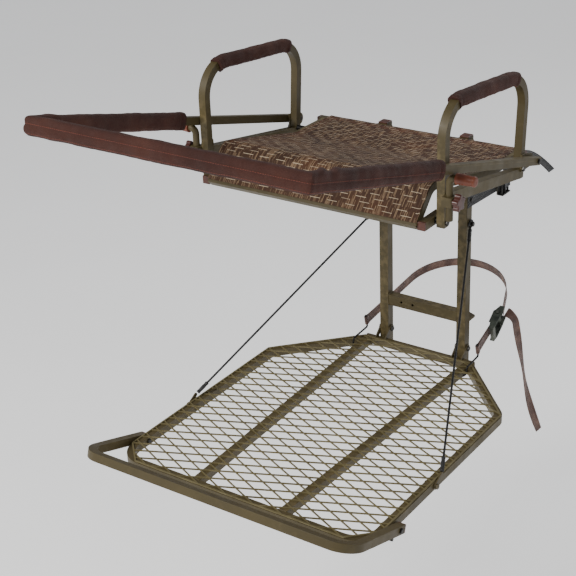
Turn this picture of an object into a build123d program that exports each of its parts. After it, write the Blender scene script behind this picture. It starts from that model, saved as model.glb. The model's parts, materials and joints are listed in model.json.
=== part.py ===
"""Hang-on tree stand: folding platform, footrest, seat, armrests and padded shooting rail."""
from build123d import *
import math
import os

os.makedirs("parts", exist_ok=True)

# Driving dimensions, mm. Y = 0 is the tree side, -Y the user side, Z = 0 the platform's mid-plane.
WALL = 1.6              # frame tube wall
POST = 25.4             # upright, square tube
TUBE = 20.0             # platform tube
SEAT_TUBE = 19.0        # seat, hoop and rail tube
POST_X = 115.0
POST_Y = -37.0
POST_TOP = 610.0
POST_FOOT = -10.0
FOLD_Z = 30.0           # platform hinge height
SEAT_Z = 595.0          # seat hinge height
SIDE_X = 336.5          # platform side rail
FRONT_Y = -880.0
BEND_Y = -267.0
REAR_Y = -67.0
CABLE_Y = -603.0
STRAND = 3.0            # mesh strand width and thickness
LWD = 76.2              # mesh diamond, long way
SWD = 33.9              # mesh diamond, short way
STEP_X = 358.0          # footrest arm
STEP_HINGE_Y = -790.0
STEP_TILT = 18.0
STEP_REACH = 194.5
HOOP_X = 310.0
ARM_X = 335.0           # shooting rail arm at its pivot
RAIL_PIVOT = (-120.0, 612.0)
RAIL_TILT = 15.3
RAIL_REACH = 947.6
TRUNK_Y = 125.0         # axis of the tree the straps are shaped to
TRUNK_R = 138.0
BOLT_R = 4.0
RUN_GAP = 0.05          # radial clearance of a turning bolt
SIDES = (("left", -1), ("right", 1))


def pick(solid):
    """A plain shape with one solid per body of metal."""
    return Compound(children=list(solid.solids())) if len(solid.solids()) > 1 else solid.solid()


def save(name, shape):
    export_step(pick(shape), f"parts/{name}.step")
    print(name, round(shape.volume), len(shape.solids()))


def gather(parts):
    """One shape of several that stay apart."""
    whole = parts[0]
    for part in parts[1:]:
        whole = whole + part
    return whole


def run(points, radius=0.0):
    pts = [Vector(*p) for p in points]
    if len(pts) == 2:
        return Line(pts[0], pts[1])
    return FilletPolyline(*pts, radius=radius) if radius else Polyline(*pts)


def bar(points, across, size, radius=0.0, height=None):
    """Solid rectangular bar along a flat run; across is square to the run's plane, radius 0 mitres it."""
    path = run(points, radius)
    start = Plane(origin=path @ 0, x_dir=across, z_dir=path % 0)
    return sweep(start * Rectangle(size, height or size), path=path, transition=Transition.RIGHT)


def tube(points, across, size, radius=0.0, height=None, wall=WALL):
    """Square tube along a flat run."""
    tall = height or size
    outer = bar(points, across, size, radius, tall)
    return outer - bar(points, across, size - 2 * wall, radius, tall - 2 * wall)


def free_run(points, y, name):
    """Loose webbing's path through (x, z) points, with the largest arc at each that its runs allow."""
    radii = []
    for a, b, c in zip(points, points[1:], points[2:]):
        u, v = Vector(b[0] - a[0], b[1] - a[1]), Vector(c[0] - b[0], c[1] - b[1])
        radii.append(round(0.45 * min(u.length, v.length) / math.tan(math.radians(u.get_angle(v)) / 2), 1))
    print("cord radii", name, radii)
    return FilletPolyline(*[Vector(x, y, z) for x, z in points], radius=radii)


def rod(points, r, radius=0.0):
    """Round rod along a run."""
    path = run(points, radius)
    start = Plane(origin=path @ 0, z_dir=path % 0)
    return sweep(start * Circle(r), path=path)


def pin(x0, x1, y, z, r):
    """Cylinder along X between x0 and x1."""
    low = min(x0, x1)
    plane = Plane(origin=(low, y, z), x_dir=(0, 1, 0), z_dir=(1, 0, 0))
    return extrude(plane * Circle(r), abs(x1 - x0))


def hex_pin(x0, x1, y, z, r):
    """Hexagonal head along X."""
    low = min(x0, x1)
    plane = Plane(origin=(low, y, z), x_dir=(0, 1, 0), z_dir=(1, 0, 0))
    return chamfer((extrude(plane * RegularPolygon(r, 6), abs(x1 - x0))).edges().group_by(Axis.X)[-1], 0.6)


def bolt(x0, x1, y, z, r=BOLT_R, head=6.5, thick=4.5):
    """Bolt along X with a hex head past x1 and a nut past x0."""
    s = 1 if x1 > x0 else -1
    shank = pin(x0 - s * thick, x1 + s * thick, y, z, r)
    return shank + hex_pin(x1, x1 + s * thick, y, z, head) + hex_pin(x0 - s * thick, x0, y, z, head)


def plate_x(x0, x1, outline):
    """Plate between x0 and x1 whose outline is the hull of round and square patches in YZ."""
    low = min(x0, x1)
    plane = Plane(origin=(low, 0, 0), x_dir=(0, 1, 0), z_dir=(1, 0, 0))
    edges = []
    for kind, *at in outline:
        if kind == "round":
            y, z, r = at
            edges += (Pos(y, z) * Circle(r)).edges()
        else:
            y0, z0, y1, z1 = at
            edges += (Pos((y0 + y1) / 2, (z0 + z1) / 2) * Rectangle(y1 - y0, z1 - z0)).edges()
    return extrude(plane * make_hull(edges), abs(x1 - x0))


def box(x0, x1, y0, y1, z0, z1):
    centre = ((x0 + x1) / 2, (y0 + y1) / 2, (z0 + z1) / 2)
    return Pos(*centre) * Box(abs(x1 - x0), abs(y1 - y0), abs(z1 - z0))


def in_plane(pivot, tilt, reach, x, lift=0.0):
    """Point reach along a plane that rises towards the user at tilt degrees from pivot (y, z)."""
    c, s = math.cos(math.radians(tilt)), math.sin(math.radians(tilt))
    return (x, pivot[0] - reach * c + lift * s, pivot[1] + reach * s + lift * c)


# Post: uprights, cross bars, tree brackets
holes = [(FOLD_Z, BOLT_R), (383.0, BOLT_R), (447.0, 3.0), (SEAT_Z, BOLT_R)]
drill = [pin(s * 90, s * 140, POST_Y, z, r) for _, s in SIDES for z, r in holes]
for side, s in SIDES:
    upright = tube([(s * POST_X, POST_Y, POST_FOOT), (s * POST_X, POST_Y, POST_TOP)], (1, 0, 0), POST, wall=2.0)
    for hole in drill:
        upright -= hole
    save(f"post_{side}", upright)

inner = POST_X - POST / 2
BAR_Z = 122.0
cross = tube([(-inner, POST_Y, BAR_Z), (inner, POST_Y, BAR_Z)], (0, 1, 0), POST, wall=2.0)
for x in (-62.0, -28.0):
    cross -= Pos(x, POST_Y, BAR_Z) * (Rot(90, 0, 0) * Cylinder(3.5, 40))
save("cross_bar_low", cross)
TOP_BAR_Z = 560.0
save("cross_bar_top", tube([(-inner, POST_Y, TOP_BAR_Z), (inner, POST_Y, TOP_BAR_Z)], (0, 1, 0), POST, wall=2.0))


def tree_plate(z_top):
    """Toothed V plate that grips the trunk."""
    half = [(inner, -45.0), (inner, -24.3), (POST_X + 12.7, -24.3), (POST_X + 12.7, 6.0), (98.0, 19.0)]
    teeth = 8
    (xa, ya), (xb, yb) = (98.0, 19.0), (21.0, -18.0)
    for i in range(teeth):
        for part, depth in ((0.5, 4.5), (1.0, 0.0)):
            t = (i + part) / teeth
            half.append((xa + (xb - xa) * t + 0.43 * depth, ya + (yb - ya) * t - 0.9 * depth))
    outline = half + [(-x, y) for x, y in reversed(half)]
    return extrude(Plane.XY.offset(z_top - 6.0) * make_face(Polyline(*outline, close=True)), 6.0)


save("tree_brackets", gather([tree_plate(BAR_Z - POST / 2), tree_plate(TOP_BAR_Z - POST / 2)]))

caps = []
for _, s in SIDES:
    cap = box(s * POST_X - 12.7, s * POST_X + 12.7, POST_Y - 12.7, POST_Y + 12.7, POST_TOP, POST_TOP + 4)
    cap = fillet(cap.edges().group_by(Axis.Z)[-1], 1.5)
    plug = box(s * POST_X - 10.6, s * POST_X + 10.6, POST_Y - 10.6, POST_Y + 10.6, POST_TOP - 5, POST_TOP)
    caps.append(cap + plug)
save("post_caps", gather(caps))

LUG_IN, LUG_OUT = 13.0, 16.0
bolts = []
for _, s in SIDES:
    for z in (FOLD_Z, SEAT_Z):
        bolts.append(bolt(s * (POST_X - LUG_OUT - 0.2), s * (POST_X + LUG_OUT + 0.2), POST_Y, z))
    bolts.append(bolt(s * inner, s * 136.0, POST_Y, 383.0))
    bolts.append(bolt(s * inner, s * 131.6, POST_Y, 447.0, r=3.0, head=6.0, thick=3.5))
save("post_bolts", gather(bolts))

# Platform frame
half = TUBE / 2
front_pts = [(-SIDE_X, -800, 0), (-SIDE_X, FRONT_Y, 0), (SIDE_X, FRONT_Y, 0), (SIDE_X, -800, 0)]
save("front_rail", tube(front_pts, (0, 0, 1), TUBE, 60.0))
rear_box = box(-162, 162, REAR_Y - half, REAR_Y + half, -half, half)
rear = rear_box - box(-170, 170, REAR_Y - half + WALL, REAR_Y + half - WALL, -half + WALL, half - WALL)
for x0, x1 in ((-162, -160), (160, 162)):
    rear += box(x0, x1, REAR_Y - half, REAR_Y + half, -half, half)
save("rear_member", rear)

rail_bars = {}
for side, s in SIDES:
    pts = [(s * SIDE_X, -800, 0), (s * SIDE_X, BEND_Y, 0), (s * 148, REAR_Y, 0)]
    rail_bars[side] = bar(pts, (0, 0, 1), TUBE, 35.0)
    rail = rail_bars[side] - bar(pts, (0, 0, 1), TUBE - 2 * WALL, 35.0) - rear_box
    rail -= pin(s * 320, s * 350, STEP_HINGE_Y, 0, BOLT_R)
    rail -= pin(s * 320, s * 350, CABLE_Y, 0, BOLT_R)
    save(f"side_rail_{side}", rail)
stringers = []
for side, s in SIDES:
    pts = [(s * 119, FRONT_Y + half, 0), (s * 150.4, REAR_Y, 0)]
    stringer = tube(pts, (0, 0, 1), TUBE) - rear_box - rail_bars[side]
    stringers.append(stringer - box(-200, 200, FRONT_Y - half, FRONT_Y + half, -20, 20))
save("stringers", gather(stringers))

lugs = []
for _, s in SIDES:
    for k in (-1, 1):
        x0, x1 = s * POST_X + k * LUG_IN, s * POST_X + k * LUG_OUT
        outline = [("round", POST_Y, FOLD_Z, 11.0), ("square", REAR_Y - 5, half, REAR_Y + half, half + 2)]
        lugs.append(plate_x(x0, x1, outline) - pin(s * 90, s * 140, POST_Y, FOLD_Z, BOLT_R + RUN_GAP))
save("fold_lugs", gather(lugs))

# Expanded mesh deck
edge = SIDE_X + half - 2
rim = [(-edge + 58, FRONT_Y - 8), (edge - 58, FRONT_Y - 8), (edge, FRONT_Y + 50), (edge, BEND_Y - 3)]
rim += [(159.0, REAR_Y - 7), (-159.0, REAR_Y - 7), (-edge, BEND_Y - 3), (-edge, FRONT_Y + 50)]
deck_face = make_face(Polyline(*rim, close=True))
clip = offset(deck_face, -4.0, kind=Kind.INTERSECTION)
cut = STRAND / 2
a_half, b_half = LWD / 2, SWD / 2
slope = math.hypot(a_half, b_half) / (a_half * b_half)
shrink = 1 - cut * slope
centres = []
for j in range(60):
    y = -109.0 + b_half * (2 - j)
    shift = 0.0 if j % 2 == 0 else a_half
    for i in range(-6, 7):
        centres.append((i * LWD + LWD / 4 + shift, y))
ax, by = a_half * shrink, b_half * shrink
openings = []
for x, y in centres:
    diamond = make_face(Polyline((x - ax, y), (x, y - by), (x + ax, y), (x, y + by), close=True))
    inside = diamond & clip
    if inside is None:
        continue
    openings += [f.outer_wire() for f in inside.faces() if f.area > 25]
deck = extrude(Plane.XY.offset(half) * Face(deck_face.face().outer_wire(), openings), STRAND)
save("deck_mesh", deck)

# Footrest hinge hardware, stops and cable anchors on the platform
stop = in_plane((STEP_HINGE_Y, 0), STEP_TILT, 27, 0, -14.1)  # pin under the arm that holds it level
hardware = []
for _, s in SIDES:
    outer = STEP_X + 10.2
    hardware.append(bolt(s * 326.5, s * outer, STEP_HINGE_Y, 0) + pin(s * 346.5, s * 347.8, STEP_HINGE_Y, 0, 8))
    hardware.append(pin(s * 346.5, s * 366, stop[1], stop[2], 4))
save("footrest_hardware", gather(hardware))

CABLE_LOW = (349.5, -578.0, 17.0)
CABLE_TOP = (132.0, POST_Y, 383.0)
anchors = []
for _, s in SIDES:
    one = bolt(s * 326.5, s * 351.2, CABLE_Y, 0) + pin(s * 346.5, s * 348.0, CABLE_Y, 0, 9)
    one += plate_x(s * 348, s * 351, [("round", CABLE_Y, 0, 8.0), ("round", CABLE_LOW[1], CABLE_LOW[2], 5.0)])
    anchors.append(one)
save("cable_anchors", gather(anchors))


def along(a, b, d):
    """Point d mm from a towards b."""
    v = Vector(*b) - Vector(*a)
    p = Vector(*a) + v.normalized() * d
    return (p.X, p.Y, p.Z)


CABLE_R = 2.75
low, top = (-CABLE_LOW[0], *CABLE_LOW[1:]), (-CABLE_TOP[0], *CABLE_TOP[1:])
ring = Plane(origin=top, z_dir=(1, 0, 0)) * Torus(9.0, CABLE_R)
left_cable = rod([along(low, top, 8.5), along(top, low, 8.0)], CABLE_R) + ring
save("cable_left", left_cable)
save("cable_right", mirror(left_cable, Plane.YZ))
for name, a, b, gap in (("low", low, top, 8.0), ("top", top, low, 18.0)):
    ends = [along(a, b, gap), along(a, b, gap + 35.0)]
    sleeve = rod(ends, 5.0) - rod(ends, CABLE_R + RUN_GAP)
    save(f"cable_sleeves_{name}", gather([sleeve, mirror(sleeve, Plane.YZ)]))

# Footrest: a U bar outside the platform
hinge = (STEP_HINGE_Y, 0.0)
u_normal = in_plane((0, 0), STEP_TILT, 0, 0, 1)
for side, s in SIDES:
    pts = [in_plane(hinge, STEP_TILT, -17, s * STEP_X), in_plane(hinge, STEP_TILT, 120, s * STEP_X)]
    arm = tube(pts, (1, 0, 0), TUBE) - pin(s * 340, s * 375, STEP_HINGE_Y, 0, BOLT_R + RUN_GAP)
    save(f"footrest_arm_{side}", arm)
pts = [in_plane(hinge, STEP_TILT, d, x) for d, x in
       ((120, -STEP_X), (STEP_REACH, -STEP_X), (STEP_REACH, STEP_X), (120, STEP_X))]
save("footrest_bar", tube(pts, u_normal, TUBE, 45.0))
plugs = []
for _, s in SIDES:
    pts = [in_plane(hinge, STEP_TILT, -22, s * STEP_X), in_plane(hinge, STEP_TILT, -17, s * STEP_X)]
    stem = [pts[1], in_plane(hinge, STEP_TILT, -9, s * STEP_X)]
    plugs.append(bar(pts, (1, 0, 0), TUBE) + bar(stem, (1, 0, 0), TUBE - 2 * WALL))
save("footrest_plugs", gather(plugs))

# Seat frame
q = SEAT_TUBE / 2
SEAT_X = 264.9
REAR = (-75.0, 602.0)
CREST = (-492.0, 663.0)
NOSE = (-553.0, 598.0)
d3 = Vector(0, NOSE[0] - CREST[0], NOSE[1] - CREST[1]).normalized()
n3 = Vector(0, d3.Z, -d3.Y)
rear_cross = box(-285, 285, REAR[0] - q, REAR[0] + q, REAR[1] - q, REAR[1] + q)
hollow = box(-290, 290, REAR[0] - q + WALL, REAR[0] + q - WALL, REAR[1] - q + WALL, REAR[1] + q - WALL)
save("seat_rear_tube", rear_cross - hollow)
nose_pts = [(-274.3, *NOSE), (274.3, *NOSE)]
nose_bar = bar(nose_pts, n3, SEAT_TUBE)
save("seat_front_tube", tube(nose_pts, n3, SEAT_TUBE))
FRONT_BOLT = (-514.0, 597.0)
BACK_BOLT = (-157.0, 602.0)
KNEE = (-222.0, 602.0)
profile = [REAR, KNEE, CREST, NOSE]
for side, s in SIDES:
    pts = [(s * SEAT_X, y, z) for y, z in profile]
    path = FilletPolyline(*[Vector(*p) for p in pts], radius=[60.0, 34.0])
    start = Plane(origin=path @ 0, x_dir=(1, 0, 0), z_dir=path % 0)
    wall_tube = sweep(start * Rectangle(SEAT_TUBE, SEAT_TUBE), path=path)
    wall_tube -= sweep(start * Rectangle(SEAT_TUBE - 2 * WALL, SEAT_TUBE - 2 * WALL), path=path)
    wall_tube -= rear_cross
    wall_tube -= nose_bar
    save(f"seat_side_{side}", wall_tube - pin(s * 250, s * 290, *BACK_BOLT, BOLT_R))

STUB_X = 284.0
stubs, seat_caps, seat_lugs = [], [], []
for _, s in SIDES:
    stub = tube([(s * STUB_X, -480, 597), (s * STUB_X, -554, 597)], (1, 0, 0), SEAT_TUBE)
    stubs.append(stub - pin(s * 262, s * 300, *FRONT_BOLT, BOLT_R))
    x0, x1 = s * STUB_X - q, s * STUB_X + q
    cap = box(x0, x1, -560, -554, 597 - q, 597 + q)
    seat_caps.append(cap + box(x0 + WALL, x1 - WALL, -554, -544, 597 - q + WALL, 597 + q - WALL))
    cap = box(s * 285, s * 290, REAR[0] - q, REAR[0] + q, REAR[1] - q, REAR[1] + q)
    seat_caps.append(cap + box(s * 275, s * 285, REAR[0] - q + WALL, REAR[0] + q - WALL,
                               REAR[1] - q + WALL, REAR[1] + q - WALL))
    for k in (-1, 1):
        x0, x1 = s * POST_X + k * LUG_IN, s * POST_X + k * LUG_OUT
        weld = ("square", REAR[0] + q, REAR[1] - q, REAR[0] + q + 1, REAR[1] + q)
        lug = plate_x(x0, x1, [("round", POST_Y, SEAT_Z, 11.0), weld])
        seat_lugs.append(lug - pin(s * 90, s * 140, POST_Y, SEAT_Z, BOLT_R + RUN_GAP))
save("seat_stubs", gather(stubs))
save("seat_caps", gather(seat_caps))
save("seat_lugs", gather(seat_lugs))

# Sling stretched over the seat frame
LIFT = q + 1.4
slope = Vector(0, CREST[0] - KNEE[0], CREST[1] - KNEE[1]).normalized()
flat, over = Vector(0, 0, 1), Vector(0, slope.Z, -slope.Y)
knee = (flat + over) * (LIFT / (1 + flat.dot(over)))
crest = (over + n3) * (LIFT / (1 + over.dot(n3)))
sling_pts = [(REAR[0] + 9.0, REAR[1] + LIFT), (KNEE[0] + knee.Y, KNEE[1] + knee.Z),
             (CREST[0] + crest.Y, CREST[1] + crest.Z),
             (NOSE[0] + LIFT * (n3.Y + d3.Y), NOSE[1] + LIFT * (n3.Z + d3.Z)),
             (NOSE[0] + LIFT * d3.Y - 6 * n3.Y, NOSE[1] + LIFT * d3.Z - 6 * n3.Z)]
path = FilletPolyline(*[Vector(0, y, z) for y, z in sling_pts], radius=[60.0, 45.0, 1.5])
start = Plane(origin=path @ 0, x_dir=(1, 0, 0), z_dir=path % 0)
sling = sweep(start * Rectangle(2 * 274.0, 2.4), path=path)
taper = Polyline((-274, -600), (274, -600), (274, -480), (262, -50), (-262, -50), (-274, -480), close=True)
save("sling", sling & extrude(Plane.XY.offset(560) * make_face(taper), 140))

# Armrest hoops
PAD_SPAN = (0.335, 0.688)  # share of the hoop's length the pad covers
hoop_pts = [(-514.0, 586.0), (-514.0, 852.0), (-136.0, 818.0), (-156.0, 578.0)]
links, pads = [], []
for side, s in SIDES:
    pts = [(s * HOOP_X, y, z) for y, z in hoop_pts]
    solid_hoop = bar(pts, (1, 0, 0), SEAT_TUBE, 72.0)
    hoop = solid_hoop - bar(pts, (1, 0, 0), SEAT_TUBE - 2 * WALL, 72.0)
    for at in (FRONT_BOLT, BACK_BOLT):
        hoop -= pin(s * 295, s * 325, *at, BOLT_R)
    save(f"hoop_{side}", hoop)
    link = tube([(s * HOOP_X, -514, 650.0), (s * HOOP_X, -155, 590.0)], (1, 0, 0), SEAT_TUBE, height=25.0)
    link -= solid_hoop
    link = sorted(link.solids(), key=lambda part: part.volume)[-1]
    links.append(link - pin(s * 295, s * 325, *BACK_BOLT, BOLT_R))
    path = Wire(run(pts, 72.0).edges()).trim(*PAD_SPAN)
    start = Plane(origin=path @ 0, x_dir=(1, 0, 0), z_dir=path % 0)
    slit_side = -1 if start.y_dir.Z > 0 else 1
    section = Pos(-2.2 * s, 0) * RectangleRounded(30, 33, 9) - Rectangle(SEAT_TUBE + 0.1, SEAT_TUBE + 0.1)
    section -= Pos(0, slit_side * 13) * Rectangle(3.0, 12)
    pads.append(sweep(start * section, path=path))
save("arm_links", gather(links))
save("hoop_pads", gather(pads))

ears, seat_bolts = [], []
for _, s in SIDES:
    outline = [("round", *RAIL_PIVOT, 16.0), ("square", -165.0, 596.0, -148.0, 636.0)]
    one = plate_x(s * (HOOP_X + q), s * (HOOP_X + q + 3.5), outline)
    one -= pin(s * 318, s * 326, *RAIL_PIVOT, BOLT_R)
    one -= pin(s * 318, s * 326, *BACK_BOLT, BOLT_R)
    ears.append(one)
    spacer = pin(s * (STUB_X + q), s * (HOOP_X - q), *FRONT_BOLT, 7)
    seat_bolts.append(bolt(s * (STUB_X - q), s * (HOOP_X + q), *FRONT_BOLT) + spacer)
    spacer = pin(s * (SEAT_X + q), s * (HOOP_X - q), *BACK_BOLT, 7)
    seat_bolts.append(bolt(s * (SEAT_X - q), s * (HOOP_X + q + 3.5), *BACK_BOLT) + spacer)
    washer = pin(s * 323, s * 325.2, *RAIL_PIVOT, 9)
    seat_bolts.append(bolt(s * (HOOP_X + q), s * 344.9, *RAIL_PIVOT) + washer)
save("rail_ears", gather(ears))
save("seat_bolts", gather(seat_bolts))

# Shooting rail: a padded U on the rear ears, resting on the two side supports
u_normal = in_plane((0, 0), RAIL_TILT, 0, 0, 1)
SPLIT = 800.0


def rail_x(reach):
    return ARM_X - 5.0 * reach / RAIL_REACH


for side, s in SIDES:
    pts = [in_plane(RAIL_PIVOT, RAIL_TILT, d, s * rail_x(d)) for d in (-12.0, SPLIT)]
    arm = tube(pts, u_normal, SEAT_TUBE) - pin(s * 318, s * 350, *RAIL_PIVOT, BOLT_R + RUN_GAP)
    save(f"rail_arm_{side}", arm)
corner = [(SPLIT, -rail_x(SPLIT)), (RAIL_REACH, -rail_x(RAIL_REACH))]
corner += [(d, -x) for d, x in reversed(corner)]
save("rail_bar", tube([in_plane(RAIL_PIVOT, RAIL_TILT, d, x) for d, x in corner], u_normal, SEAT_TUBE))
PAD_FROM = 472.0
corner[0] = (PAD_FROM, -rail_x(PAD_FROM))
corner[3] = (PAD_FROM, rail_x(PAD_FROM))
path = run([in_plane(RAIL_PIVOT, RAIL_TILT, d, x) for d, x in corner])
start = Plane(origin=path @ 0, x_dir=u_normal, z_dir=path % 0)
section = RectangleRounded(40, 30, 10) - Rectangle(SEAT_TUBE + 0.1, SEAT_TUBE + 0.1)
save("rail_pad", sweep(start * section, path=path, transition=Transition.RIGHT))

# Side supports with clamp knobs
ROD_X, ROD_Y, PEG_Z, ROD_R = 332.0, -526.0, 704.6, 8.0
KNOB_Z = 652.0
clamps = []
for side, s in SIDES:
    block = box(s * (HOOP_X + q), s * 344.5, ROD_Y - 12.5, ROD_Y + 12.5, KNOB_Z - 11, KNOB_Z + 11)
    block = fillet(block.edges().filter_by(Axis.Z).sort_by(Axis.X)[(0 if s < 0 else -2):(2 if s < 0 else None)], 5)
    block -= Pos(s * ROD_X, ROD_Y, KNOB_Z) * Cylinder(ROD_R + RUN_GAP, 60)
    clamps.append(block - pin(s * 338, s * 350, ROD_Y, KNOB_Z, 3.0 + RUN_GAP))
    bend = [(s * ROD_X, ROD_Y, 608.0), (s * ROD_X, ROD_Y, PEG_Z), (s * 388.0, ROD_Y, PEG_Z)]
    save(f"support_{side}", rod(bend, ROD_R, 14.0))
    base = Plane(origin=(s * 348.0, ROD_Y, PEG_Z), z_dir=(s, 0, 0))
    cone = base * Cone(10.8, 9.0, 44.0, align=(Align.CENTER, Align.CENTER, Align.MIN))
    cone -= pin(s * 340, s * 388.0, ROD_Y, PEG_Z, ROD_R)
    save(f"support_grip_{side}", cone)
    plane = Plane(origin=(s * 347.0, ROD_Y, KNOB_Z), x_dir=(0, s, 0), z_dir=(s, 0, 0))
    lobes = Circle(14.0)
    for i in range(5):
        lobes += Rot(0, 0, 72 * i) * Pos(0, 13.5) * Circle(5.5)
    knob = extrude(plane * lobes, 13.0)
    knob = fillet(knob.edges().group_by(Axis.X)[-1 if s > 0 else 0], 2.0)
    knob += pin(s * 340.4, s * 347.0, ROD_Y, KNOB_Z, 3.0) + pin(s * 344.8, s * 347.0, ROD_Y, KNOB_Z, 9.0)
    save(f"knob_{side}", knob)
save("support_clamps", gather(clamps))

# Straps. The lower loop lies in a plane that climbs towards the tree.
SLOPE = 0.25
HOOK_X, HOOK_Y, HOOK_Z = 168.0, -56.0, 46.0
tilt = math.atan(SLOPE)
loop = Plane(origin=(0, HOOK_Y, HOOK_Z), x_dir=(1, 0, 0), z_dir=(0, -math.sin(tilt), math.cos(tilt)))


def touch(px, py, cy, r, turn):
    """Point where the line from (px, py) meets a circle at (0, cy) without crossing it."""
    away = math.hypot(px, py - cy)
    a = math.atan2(py - cy, px) + turn * math.acos(r / away)
    return (r * math.cos(a), cy + r * math.sin(a))


def band(plane, flat, width, thick):
    """Webbing along a flat wire of the plane, standing square to it."""
    path = plane * flat
    start = Plane(origin=path @ 0, x_dir=plane.z_dir, z_dir=path % 0)
    return sweep(start * Rectangle(width, thick), path=path)


WEB = 2.0
cy, cr = (TRUNK_Y - HOOK_Y) / math.cos(tilt), 144.0
left_t = touch(-HOOK_X, 0, cy, cr, -1)
RATCHET = (161.0, 134.0)
right_t = touch(RATCHET[0], RATCHET[1] + 30, cy, cr, 1)
left_start = along((-HOOK_X, 0, 0), (left_t[0], left_t[1], 0), 40)
left_stop = along((-HOOK_X, 0, 0), (left_t[0], left_t[1], 0), 39.5)
around = Line(left_start[:2], left_t) + ThreePointArc(left_t, (0, cy + cr), right_t)
around += Line(right_t, (RATCHET[0], RATCHET[1] + 28))
save("strap_low", band(loop, around, 25.0, WEB))
print("cord radius strap_low", cr)


def strap_end(s, stop):
    """Webbing sewn round the upright wire of its hook."""
    turn = loop * (Pos(s * HOOK_X, 0) * Cylinder(5.0, 25.0))
    flat = Line(((s * HOOK_X), 4.0), (stop[0], stop[1]))
    return (turn + band(loop, flat, 25.0, 2 * WEB)) - loop * (Pos(s * HOOK_X, 0) * Cylinder(2.6, 60.0))


save("strap_ends", gather([strap_end(-1, left_stop), strap_end(1, (RATCHET[0], RATCHET[1] - 39.5))]))

HOOK_R = 2.5
hooks = []
for _, s in SIDES:
    up = loop.z_dir
    foot = Vector(s * HOOK_X, HOOK_Y, HOOK_Z) - up * 22.0
    head = Vector(s * HOOK_X, HOOK_Y, HOOK_Z) + up * 17.0
    dip = -118.0 if s > 0 else -126.0
    pts = [(s * HOOK_X, dip - 14, 4.0), (s * HOOK_X, dip, 2.0), (s * HOOK_X, dip + 7, 20.0)]
    pts += [(foot.X, foot.Y, foot.Z), (head.X, head.Y, head.Z)]
    hooks.append(rod(pts, HOOK_R, 4.5))
save("hooks", gather(hooks))

# Ratchet, in its own frame: u towards the hook, w across the webbing, t away from the trunk
base = loop * Pos(RATCHET[0], RATCHET[1], 0)
cheeks = None
for w in (-18.0, 15.5):
    outline = make_hull((Pos(0, 26) * Rectangle(14, 10)).edges() + (Pos(2, -30) * Rectangle(16, 20)).edges()
                        + (Pos(0, 0) * Circle(13)).edges())
    one = base * (Pos(0, 0, w) * extrude(outline, 2.5))
    cheeks = one if cheeks is None else cheeks + one
cheeks += base * (Pos(0, -36, 0) * Cylinder(3.0, 36.0))
cheeks -= base * (Pos(0, 0, 0) * Cylinder(7.05, 60.0))
save("ratchet_body", cheeks)
spool = base * Cylinder(7.0, 36.4) + base * Cylinder(5.5, 44.0)
spool -= base * Box(2.4, 20.0, 27.0)
for w in (-15.4, 12.9):
    gear = Circle(10.0)
    for i in range(10):
        gear += Rot(0, 0, 36 * i) * (Pos(11.0, 0) * Rectangle(4.0, 3.0))
    spool += base * (Pos(0, 0, w) * extrude(gear, 2.5))
save("ratchet_spool", spool)
handle = None
for w in (-21.0, 18.5):
    outline = make_hull(Circle(12).edges() + (Pos(14, -58) * Rectangle(12, 20)).edges())
    one = base * (Pos(0, 0, w) * extrude(outline, 2.5))
    handle = one if handle is None else handle + one
grip = base * (Pos(16, -62, 0) * Box(9, 14, 37.0))
handle = handle + grip - base * Cylinder(7.05, 60.0)
save("ratchet_handle", handle)

# Loose tail of the lower strap
TAIL = [(176.0, 93.0), (201.0, 85.0), (208.0, 46.0), (226.0, -38.0), (238.0, -110.0), (262.0, -190.0), (283.0, -236.0)]
path = free_run(TAIL, 92.0, "strap_tail")
start = Plane(origin=path @ 0, x_dir=(0, 1, 0), z_dir=path % 0)
save("strap_tail", sweep(start * Rectangle(25.0, WEB), path=path))

# Upper strap, level round the trunk, bolted to the posts' outer sides
level = Plane.XY.offset(447.0)
px = POST_X + POST / 2 + 1.2
reach = touch(px, -50.0, TRUNK_Y, TRUNK_R + 1.5, 1)
loop_top = Line((-px, -50.0), (-reach[0], reach[1])) + ThreePointArc((-reach[0], reach[1]), (0, TRUNK_Y + TRUNK_R + 1.5), reach)
loop_top += Line(reach, (px, -50.0))
strap = band(level, loop_top, 38.0, WEB)
for _, s in SIDES:
    strap -= pin(s * 120, s * 140, POST_Y, 447.0, 3.0)
save("strap_top", strap)
print("cord radius strap_top", TRUNK_R + 1.5)
buckle = box(143.5, 147.0, 78.0, 128.0, 424.0, 470.0)
for z0, z1 in ((421.0, 424.0), (470.0, 473.0)):
    buckle += box(143.5, 160.0, 82.0, 124.0, z0, z1)
for y in (86.0, 103.0, 120.0):
    buckle += Pos(154.0, y, 447.0) * Cylinder(3.0, 52.0)
save("buckle_top", buckle)
TIP = [(161.0, 440.0), (161.0, 510.0), (196.0, 545.0), (243.0, 536.0), (280.0, 505.0)]
path = free_run(TIP, 103.0, "strap_tip")
start = Plane(origin=path @ 0, x_dir=(0, 1, 0), z_dir=path % 0)
save("strap_tip", sweep(start * Rectangle(30.0, WEB), path=path))
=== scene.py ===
"""Hang-on tree stand: the looks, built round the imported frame. Metres, row frame."""
import json
import math

import bmesh
import bpy
import numpy as np
from mathutils import Matrix, Vector, noise


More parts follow.
